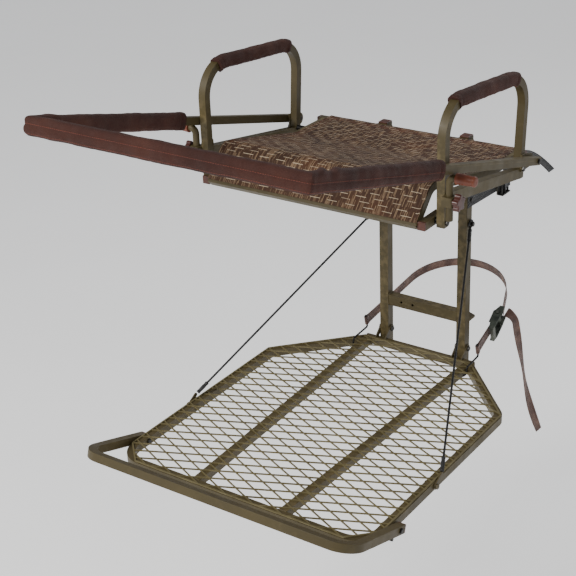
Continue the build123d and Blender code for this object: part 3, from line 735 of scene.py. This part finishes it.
# where the sleeve bunches up beside the corners: distance along it, and height
TUCKS = ((corner_right + 0.036, 0.0055), (corner_right + 0.086, 0.004), (corner_left - 0.05, 0.0022))
rings, uvs, seam_line, low_seam = [], [], [], []
for place, s, near in line:
    from_end = min(s, pad_length - s)
    hem = 0.0008 if from_end < 0.014 else 0.0
    pinch = 0.0013 * bump_at(from_end, 0.016, 0.003)
    ring, ruv, arc, prev = [], [], 0.0, None
    for j in range(count + 1):
        a = 2 * math.pi * j / count + START_ANGLE
        x, y = squircle(a, 0.0148, 0.0198, 3.4)
        r = math.hypot(x, y)
        drop = (a - seam_angle(s) + math.pi) % (2 * math.pi) - math.pi
        lip = 0.0008 * bump_at(drop, 0.0, 0.06) - 0.0007 * bump_at(drop, -0.16, 0.09)
        under = (a - 4.95 + math.pi) % (2 * math.pi) - math.pi
        lip += 0.0022 * bump_at(under, 0.0, 0.13)
        q = place(x, y)
        crumple = 0.0012 * wobble(q, 19.0, 1.7) + 0.0006 * wobble(q, 70.0, 5.2)
        fold = max(0.0, -math.cos(a)) * bump_at(near, 0.0, 0.05) * 0.0015 * math.sin(s * 2 * math.pi / 0.014)
        crease = -0.0016 * max(0.0, math.cos(a)) * bump_at(near, 0.0, 0.006) * bump_at(y, 0.004, 0.005)
        tuck = 0.0
        for at, tall in TUCKS:
            tuck += tall * bump_at(s, at, 0.013) * max(0.0, math.sin(a)) ** 2
        tuck -= 0.0028 * bump_at(s, corner_right + 0.062, 0.008) * max(0.0, math.sin(a)) ** 2
        grow = 1 + (crumple + fold + lip + hem - pinch + crease + tuck) / r
        soften = 1 - 0.10 * bump_at(near, 0.0, 0.0038) * (x > 0)
        q = place(x * grow * soften, y * grow)
        arc += (q - prev).length if prev is not None else 0.0
        prev = q
        if j < count:
            ring.append(q)
        ruv.append((arc, s))
    rings.append(ring)
    uvs.append(ruv)
    if 0.004 < from_end:
        for found, angle in ((seam_line, seam_angle(s)), (low_seam, 5.35)):
            spot = ((angle - START_ANGLE) / (2 * math.pi) * count) % count
            k, f = int(spot), spot % 1
            on = ring[k].lerp(ring[(k + 1) % count], f)
            found.append(on + (on - place(0.0, 0.0)).normalized() * 0.0002)
for end, beside in ((0, 1), (-1, -2)):
    place = line[end][0]
    inward = (line[beside][0](0, 0) - place(0, 0)).normalized()
    for half_x, half_y, power, out in ((0.0133, 0.0178, 3.4, 0.0012), (0.0104, 0.0104, 6.0, 0.0008)):
        ring = []
        for j in range(count):
            x, y = squircle(2 * math.pi * j / count + START_ANGLE, half_x, half_y, power)
            ring.append(place(x, y) - inward * out)
        if end == 0:
            rings.insert(0, ring)
            uvs.insert(0, uvs[0])
        else:
            rings.append(ring)
            uvs.append(uvs[-1])
rail_pad = surface("rail_sleeve", rings, PAD, uvs=uvs, caps=True)
finish_piece(rail_pad, "rail", "pad_fabric", "rail_pad")
stitches("rail_sleeve_seam", [seam_line, low_seam], "rail", "pad_fabric", THREAD, gap=0.0055, size=0.0042)

for side_name, sx in (("left", -1), ("right", 1)):
    rings = []
    for reach, half, power in ((-11.0, 9.4, 8.0), (-13.6, 9.4, 8.0), (-14.6, 8.4, 6.0)):
        centre_line = tilted(RAIL["pivot"], RAIL["tilt"], reach, sx * 335.0)
        outline = [squircle(2 * math.pi * j / 32, half * MM, half * MM, power) for j in range(32)]
        rings.append([centre_line + (Vector((1, 0, 0)) * x + NORMAL * y) for x, y in outline])
    plug = surface("rail_plug_" + side_name, rings, RED, caps=True)
    finish_piece(plug, "rail", "cap_red")

HOOP = [(-514.0, 586.0), (-514.0, 852.0), (-136.0, 818.0), (-156.0, 578.0)]
for side_name, sx in (("left", -1), ("right", 1)):
    full = station_path([Vector((sx * 310.0, y, z)) * MM for y, z in HOOP], 0.072, 0.004)
    length = full[-1][2]
    part = [st for st in full if 0.335 * length <= st[2] <= 0.688 * length]
    s0, s1 = part[0][2], part[-1][2]
    rings, uvs, seams = [], [], [[], []]
    outer_n = 36
    gap_angle = math.radians(9)
    for p, h, s in part:
        side = Vector((1, 0, 0))
        up = side.cross(h).normalized()
        if up.z < 0:
            up = -up
        from_end = min(s - s0, s1 - s)
        hem = 0.0007 if from_end < 0.010 else 0.0
        pinch = 0.0009 * bump_at(from_end, 0.012, 0.0025)
        ring, ruv, arc, prev = [], [], 0.0, None
        for j in range(outer_n + 1):
            a = -math.pi / 2 + gap_angle + (2 * math.pi - 2 * gap_angle) * j / outer_n
            x, y = squircle(a, 0.0147, 0.0162, 2.7)
            x -= sx * 0.0022
            r = math.hypot(x, y)
            q = p + side * x + up * y
            grow = 1 + (0.0010 * wobble(q, 30.0, 7.7) + 0.0006 * wobble(q, 90.0, 2.2) + hem - pinch) / r
            q = p + side * (x * grow) + up * (y * grow)
            if prev is not None:
                arc += (q - prev).length
            prev = q
            ring.append(q)
            ruv.append((arc, s))
        for j in range(outer_n, -1, -1):
            a = -math.pi / 2 + gap_angle * 0.8 + (2 * math.pi - 1.6 * gap_angle) * j / outer_n
            x, y = squircle(a, 0.0103, 0.0103, 6.0)
            ring.append(p + side * x + up * y)
            ruv.append((arc, s))
        ruv.append((arc, s))
        rings.append(ring)
        uvs.append(ruv)
        for k, j in enumerate((2, outer_n - 2)):
            away = (ring[j] - p).normalized()
            seams[k].append(ring[j] + away * 0.0002)
    pad = surface("arm_sleeve_" + side_name, rings, PAD, uvs=uvs, caps=True)
    finish_piece(pad, "seat", "pad_fabric", *(["hoop_pads"] if sx < 0 else []))
    stitches("arm_sleeve_seam_" + side_name, seams, "seat", "pad_fabric", THREAD,
             gap=0.0055, size=0.004, thick=0.0005)

# ---------------------------------------------------------------- suspension cables
LOW, TOP = Vector((349.5, -578.0, 17.0)) * MM, Vector((132.0, -37.0, 383.0)) * MM


def rope(name, pts, r, lobes=6, lay=0.022, n=24, closed=False):
    """Coated wire rope: the strands show through the coat as a slow twist."""
    line = resample(pts, 0.0028)
    rings = []
    side = line[0][1].orthogonal().normalized()
    for p, h, s in line:
        side = (side - h * side.dot(h)).normalized()
        up = h.cross(side)
        ring = []
        for j in range(n):
            a = 2 * math.pi * j / n
            rr = r * (0.955 + 0.045 * abs(math.cos(lobes / 2 * (a - 2 * math.pi * s / lay))))
            ring.append(p + (side * math.cos(a) + up * math.sin(a)) * rr)
        rings.append(ring)
    return surface(name, rings, CABLE, caps=not closed)


for side_name, sx in (("left", -1), ("right", 1)):
    low, top = Vector((sx * LOW.x, LOW.y, LOW.z)), Vector((sx * TOP.x, TOP.y, TOP.z))
    run = (top - low).normalized()
    cable = rope("cable_rope_" + side_name, [low + run * 0.0085, top - run * 0.010], 0.00275)
    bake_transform(cable)
    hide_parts("cable_" + side_name)
    eye_pts = []
    for k in range(49):
        a = 2 * math.pi * k / 48
        eye_pts.append(top + Vector((0, math.cos(a), math.sin(a))) * 0.009)
    eye = rope("cable_eye_" + side_name, eye_pts, 0.00262, closed=True)
    finish_piece(eye, "post", "cable")


def ferrule(name, a, b, material):
    """Crimped sleeve with a rolled lip at each end and two pressed bands."""
    h = (b - a).normalized()
    side = h.orthogonal().normalized()
    up = h.cross(side)
    length = (b - a).length
    profile = [(0.0, 2.9), (0.0, 4.4), (0.03, 4.95), (0.10, 5.0)]
    profile += [(0.16, 4.6), (0.26, 4.45), (0.34, 4.85), (0.5, 5.0)]
    profile += [(1 - t, r) for t, r in reversed(profile[:-1])]
    rings = []
    for t, r in profile:
        flat = 1 - 0.10 * math.exp(-((t - 0.22) / 0.06) ** 2) - 0.10 * math.exp(-((t - 0.78) / 0.06) ** 2)
        ring = []
        for j in range(28):
            ang = 2 * math.pi * j / 28
            ring.append(a + h * (t * length) + (side * math.cos(ang) * flat + up * math.sin(ang)) * (r * MM))
        rings.append(ring)
    return surface(name, rings, material)


for kind, body, gap in (("low", "platform", 0.008), ("top", "post", 0.018)):
    for side_name, sx in (("left", -1), ("right", 1)):
        low, top = Vector((sx * LOW.x, LOW.y, LOW.z)), Vector((sx * TOP.x, TOP.y, TOP.z))
        a, b = (low, top) if kind == "low" else (top, low)
        run = (b - a).normalized()
        sleeve = ferrule(f"cable_ferrule_{kind}_{side_name}", a + run * gap, a + run * (gap + 0.035), BLACK)
        finish_piece(sleeve, body, "black_steel", *([f"cable_sleeves_{kind}"] if sx < 0 else []))

# ---------------------------------------------------------------- straps
TILT = math.atan(0.25)
ACROSS = Vector((0, -math.sin(TILT), math.cos(TILT)))
HOOK = (168.0, -56.0, 46.0)


def loop_point(x, v):
    return Vector((x, HOOK[1] + v * math.cos(TILT), HOOK[2] + v * math.sin(TILT))) * MM


def touch(px, py, cy, r, turn):
    away = math.hypot(px, py - cy)
    a = math.atan2(py - cy, px) + turn * math.acos(r / away)
    return a, (r * math.cos(a), cy + r * math.sin(a))


def ribbon(name, line, width_dir, width, thick, material):
    """Webbing along a line of stations, with bound edges a little thicker than the middle."""
    rings, uvs = [], []
    half_prof = [(0.42, 0.40), (0.44, 0.5), (0.485, 0.5), (0.5, 0.30)]
    prof = [(-x, y) for x, y in reversed(half_prof)] + [(0.0, 0.40)] + half_prof
    section = prof + [(x, -y) for x, y in reversed(prof)]
    for p, h, s in line:
        w = width_dir if not callable(width_dir) else width_dir(s)
        w = (w - h * w.dot(h)).normalized()
        t = h.cross(w)
        fray = 1 + 0.012 * wobble(p, 90.0, 3.0)
        bow = 0.0004 * wobble(p, 16.0, 9.0)
        ring = [p + w * (x * width * fray) + t * (y * thick + bow) for x, y in section]
        rings.append(ring)
        ruv = [(x * width + (0.2 if y < 0 else 0.0), s) for x, y in section]
        uvs.append(ruv + [ruv[0]])
    return surface(name, rings, material, caps=True, uvs=uvs)


cy, cr = (125.0 - HOOK[1]) / math.cos(TILT), 144.0
a_left, left_t = touch(-HOOK[0], 0.0, cy, cr, -1)
a_right, _ = touch(161.0, 164.0, cy, cr, 1)
to_t = Vector((left_t[0] + HOOK[0], left_t[1])).normalized()
SEWN_END = 70
start_2d = (-HOOK[0] + to_t.x * SEWN_END, to_t.y * SEWN_END)
while a_left < a_right:
    a_left += 2 * math.pi
dense = [loop_point(*start_2d)]
for k in range(81):
    a = a_left + (a_right - a_left) * k / 80
    dense.append(loop_point(cr * math.cos(a), cy + cr * math.sin(a)))
dense.append(loop_point(161.0, 162.0))
strap = ribbon("strap_loop_low", resample(dense, 0.005), ACROSS, 0.025, 0.0021, WEB_BROWN)
finish_piece(strap, "post", "web_brown", "strap_low")

for side_name, sx, stop in (("left", -1, start_2d), ("right", 1, (161.0, 94.5))):
    ring_c = Vector((sx * HOOK[0], 0.0))
    goal = Vector(stop)
    away = (goal - ring_c).normalized()
    perp = Vector((-away.y, away.x))
    flat = [goal + perp * 1.05 - away * 0.5, ring_c + away * 12 + perp * 1.4]
    base_angle = math.atan2(perp.y, perp.x)
    for k in range(13):
        a = base_angle + math.radians(-10 + 200 * k / 12)
        flat.append(ring_c + Vector((math.cos(a), math.sin(a))) * 3.9)
    flat += [ring_c + away * 12 - perp * 1.4, goal - perp * 1.05 - away * 0.5]
    dense = [loop_point(q.x, q.y) for q in flat]
    end = ribbon("strap_end_" + side_name, resample(dense, 0.0022), ACROSS, 0.025, 0.0019, WEB_BROWN)
    near, far = loop_point(*(goal - away * 6)), loop_point(*(ring_c + away * 15))
    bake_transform(end)
    if sx < 0:
        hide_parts("strap_ends")

TAIL = [(176, 93), (201, 85), (208, 46), (226, -38), (238, -110), (262, -190), (283, -236)]


def spline_line(name, pts):
    """Points read from a NURBS spline with pts as its control points."""
    curve = bpy.data.curves.new(name, "CURVE")
    curve.dimensions = "3D"
    sp = curve.splines.new("NURBS")
    sp.points.add(len(pts) - 1)
    for q, p in zip(sp.points, pts):
        q.co = (*p, 1.0)
    sp.order_u = 3
    sp.use_endpoint_u = True
    sp.resolution_u = 12
    holder = bpy.data.objects.new(name, curve)
    bpy.context.scene.collection.objects.link(holder)
    depsgraph = bpy.context.evaluated_depsgraph_get()
    mesh = bpy.data.meshes.new_from_object(holder.evaluated_get(depsgraph))
    line = [v.co.copy() for v in mesh.vertices]
    bpy.data.objects.remove(holder)
    bpy.data.meshes.remove(mesh)
    return line


tail_line = resample(spline_line("tail_route", [Vector((x, 92.0, z)) * MM for x, z in TAIL]), 0.005)
tail_length = tail_line[-1][2]


def tail_width(s):
    """Which way the tail's width lies: turned up where it leaves the ratchet, then swinging a little."""
    return Vector((0.30 * math.sin(9 * s / tail_length), 1, 1.6 * math.exp(-s / 0.012)))


tail = ribbon("strap_tail_web", tail_line, tail_width, 0.025, 0.0021, WEB_BROWN)
finish_piece(tail, "post", "web_brown", "strap_tail")

a_r, _ = touch(128.9, -50.0, 125.0, 139.5, 1)
dense = [Vector((-128.9, -50.0, 447.0)) * MM]
for k in range(81):
    a = (math.pi - a_r) + (a_r - (math.pi - a_r)) * k / 80
    dense.append(Vector((139.5 * math.cos(a), 125.0 + 139.5 * math.sin(a), 447.0)) * MM)
dense.append(Vector((128.9, -50.0, 447.0)) * MM)
strap = ribbon("strap_loop_top", resample(dense, 0.005), Vector((0, 0, 1)), 0.038, 0.0022, WEB_BLACK)
finish_piece(strap, "post", "web_black", "strap_top")
TIP = [(161, 440), (161, 510), (196, 545), (243, 536), (280, 505)]
tip_line = resample(spline_line("tip_route", [Vector((x, 103.0, z)) * MM for x, z in TIP]), 0.004)
tip = ribbon("strap_tip_web", tip_line, Vector((0, 1, 0)), 0.030, 0.0022, WEB_BLACK)
finish_piece(tip, "post", "web_black", "strap_tip")

# ---------------------------------------------------------------- stage, light, camera
lo, hi = (Vector(v) for v in cad_box)
bpy.ops.mesh.primitive_plane_add(size=30, location=(0, 0, lo.z - 0.45))
floor = bpy.context.object
floor.name = "stage_floor"
floor.data.materials.append(floor_material())

world = bpy.data.worlds.new("Studio")
bpy.context.scene.world = world
world.use_nodes = True
world.node_tree.nodes["Background"].inputs[0].default_value = (0.93, 0.95, 1.0, 1.0)
world.node_tree.nodes["Background"].inputs[1].default_value = 0.34


def area(name, where, target, size, power, colour=(1, 1, 1)):
    light = bpy.data.lights.new(name, "AREA")
    light.shape = "DISK"
    light.size = size
    light.energy = power
    light.color = colour
    ob = bpy.data.objects.new(name, light)
    bpy.context.scene.collection.objects.link(ob)
    ob.location = where
    ob.rotation_euler = (Vector(target) - Vector(where)).to_track_quat("-Z", "Y").to_euler()


centre = (0, -0.4, 0.35)
area("key", (-1.5, -3.9, 2.9), centre, 1.5, 185, (1.0, 0.985, 0.955))
area("fill", (3.4, -2.0, 1.8), centre, 2.2, 26, (0.97, 0.98, 1.0))
area("rim", (0.6, 3.0, 2.6), centre, 1.6, 45)

AZ, EL, ROLL = math.radians(35.59), math.radians(25.21), math.radians(-2.39)
back = Vector((math.sin(AZ) * math.cos(EL), -math.cos(AZ) * math.cos(EL), math.sin(EL)))
right = Vector((math.cos(AZ), math.sin(AZ), 0))
up = back.cross(right)
right2 = right * math.cos(ROLL) + up * math.sin(ROLL)
up2 = -right * math.sin(ROLL) + up * math.cos(ROLL)
camera = bpy.data.objects.new("camera", bpy.data.cameras.new("camera"))
bpy.context.scene.collection.objects.link(camera)
camera.data.sensor_width = 36.0
camera.data.lens = 84.5
turn = Matrix((right2, up2, back)).transposed().to_4x4()
aim = Vector((0, -0.88, 0))
camera.matrix_world = Matrix.Translation(back * 2.9924 + right2 * 0.1149 + up2 * 0.4695 + aim) @ turn
bpy.context.scene.camera = camera
